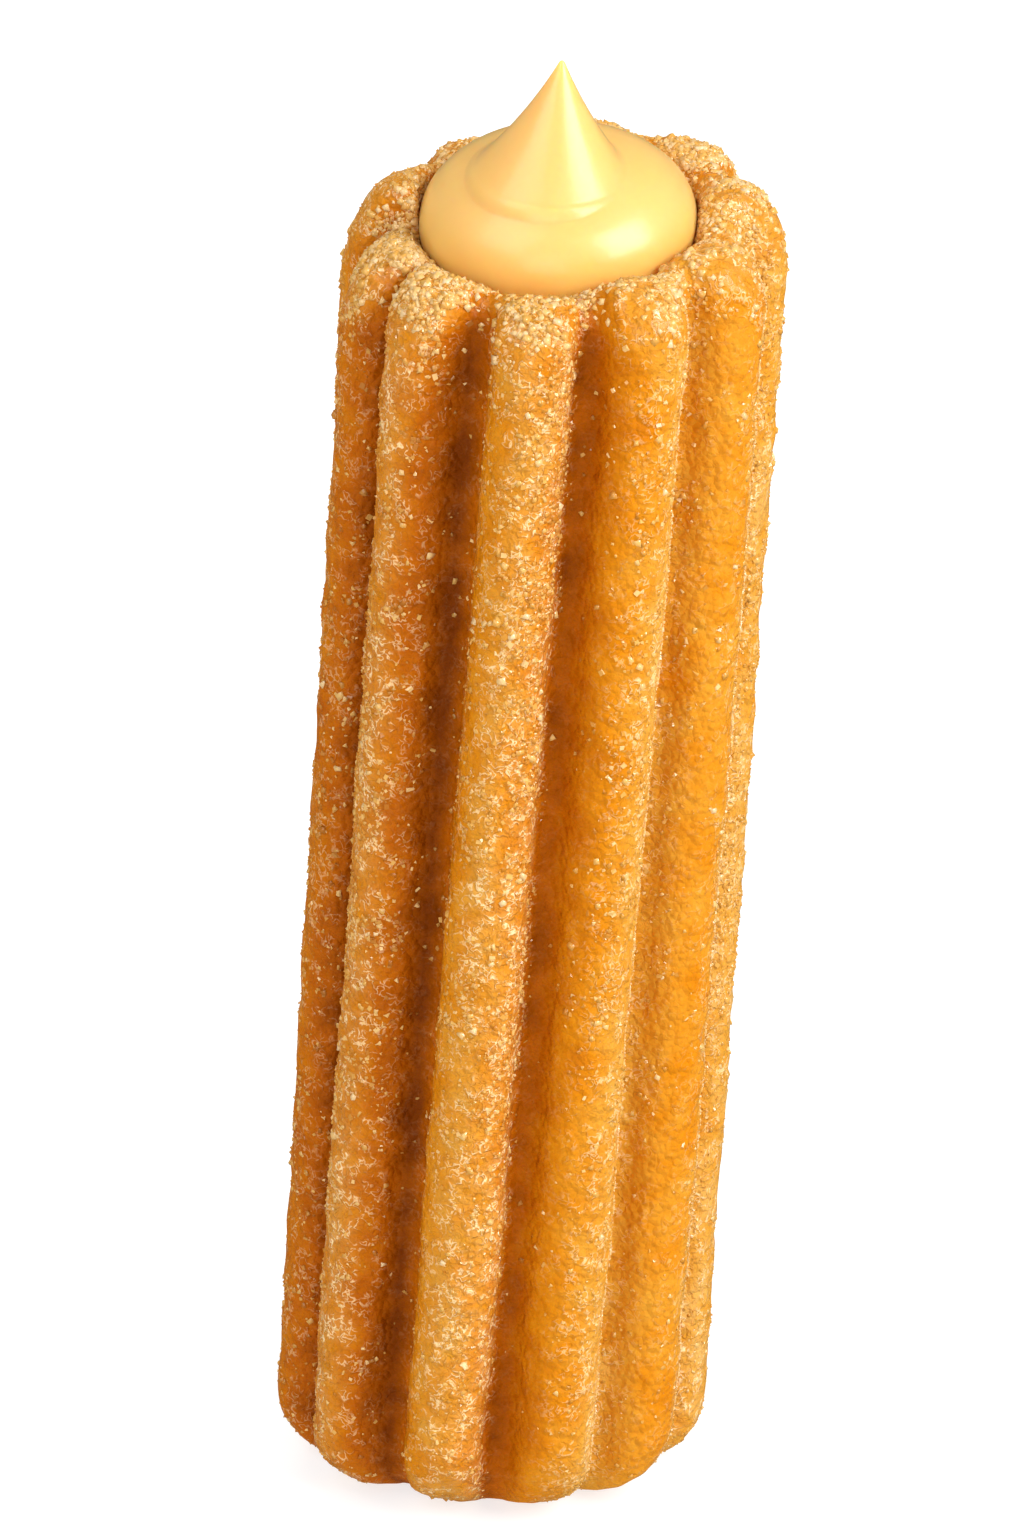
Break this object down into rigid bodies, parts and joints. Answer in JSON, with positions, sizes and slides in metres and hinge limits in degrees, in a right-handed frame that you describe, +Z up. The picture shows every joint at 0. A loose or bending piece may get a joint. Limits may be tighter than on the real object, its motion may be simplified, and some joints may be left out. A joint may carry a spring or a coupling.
{
  "type": "filled churro",
  "caption": "Ribbed, sugar-coated stick of fried dough standing on its flat foot, with custard running down its middle and swelling out of the top into a peak.",
  "frame": {"origin": "centre of the bounding box at the level of the flat foot", "axes": "+Z up the length of the churro, from foot to peak; -Y the front; +X the right"},
  "size_m": [0.0366, 0.0366, 0.128],
  "materials": {
    "fried_dough": "golden fried dough, darker in the grooves",
    "custard": "smooth glossy pale yellow custard",
    "sugar": "clear to white sugar crystals"
  },
  "bodies": {
    "root": {"ribbed_dough": "fried_dough", "custard_filling": "custard"}
  },
  "joints": []
}
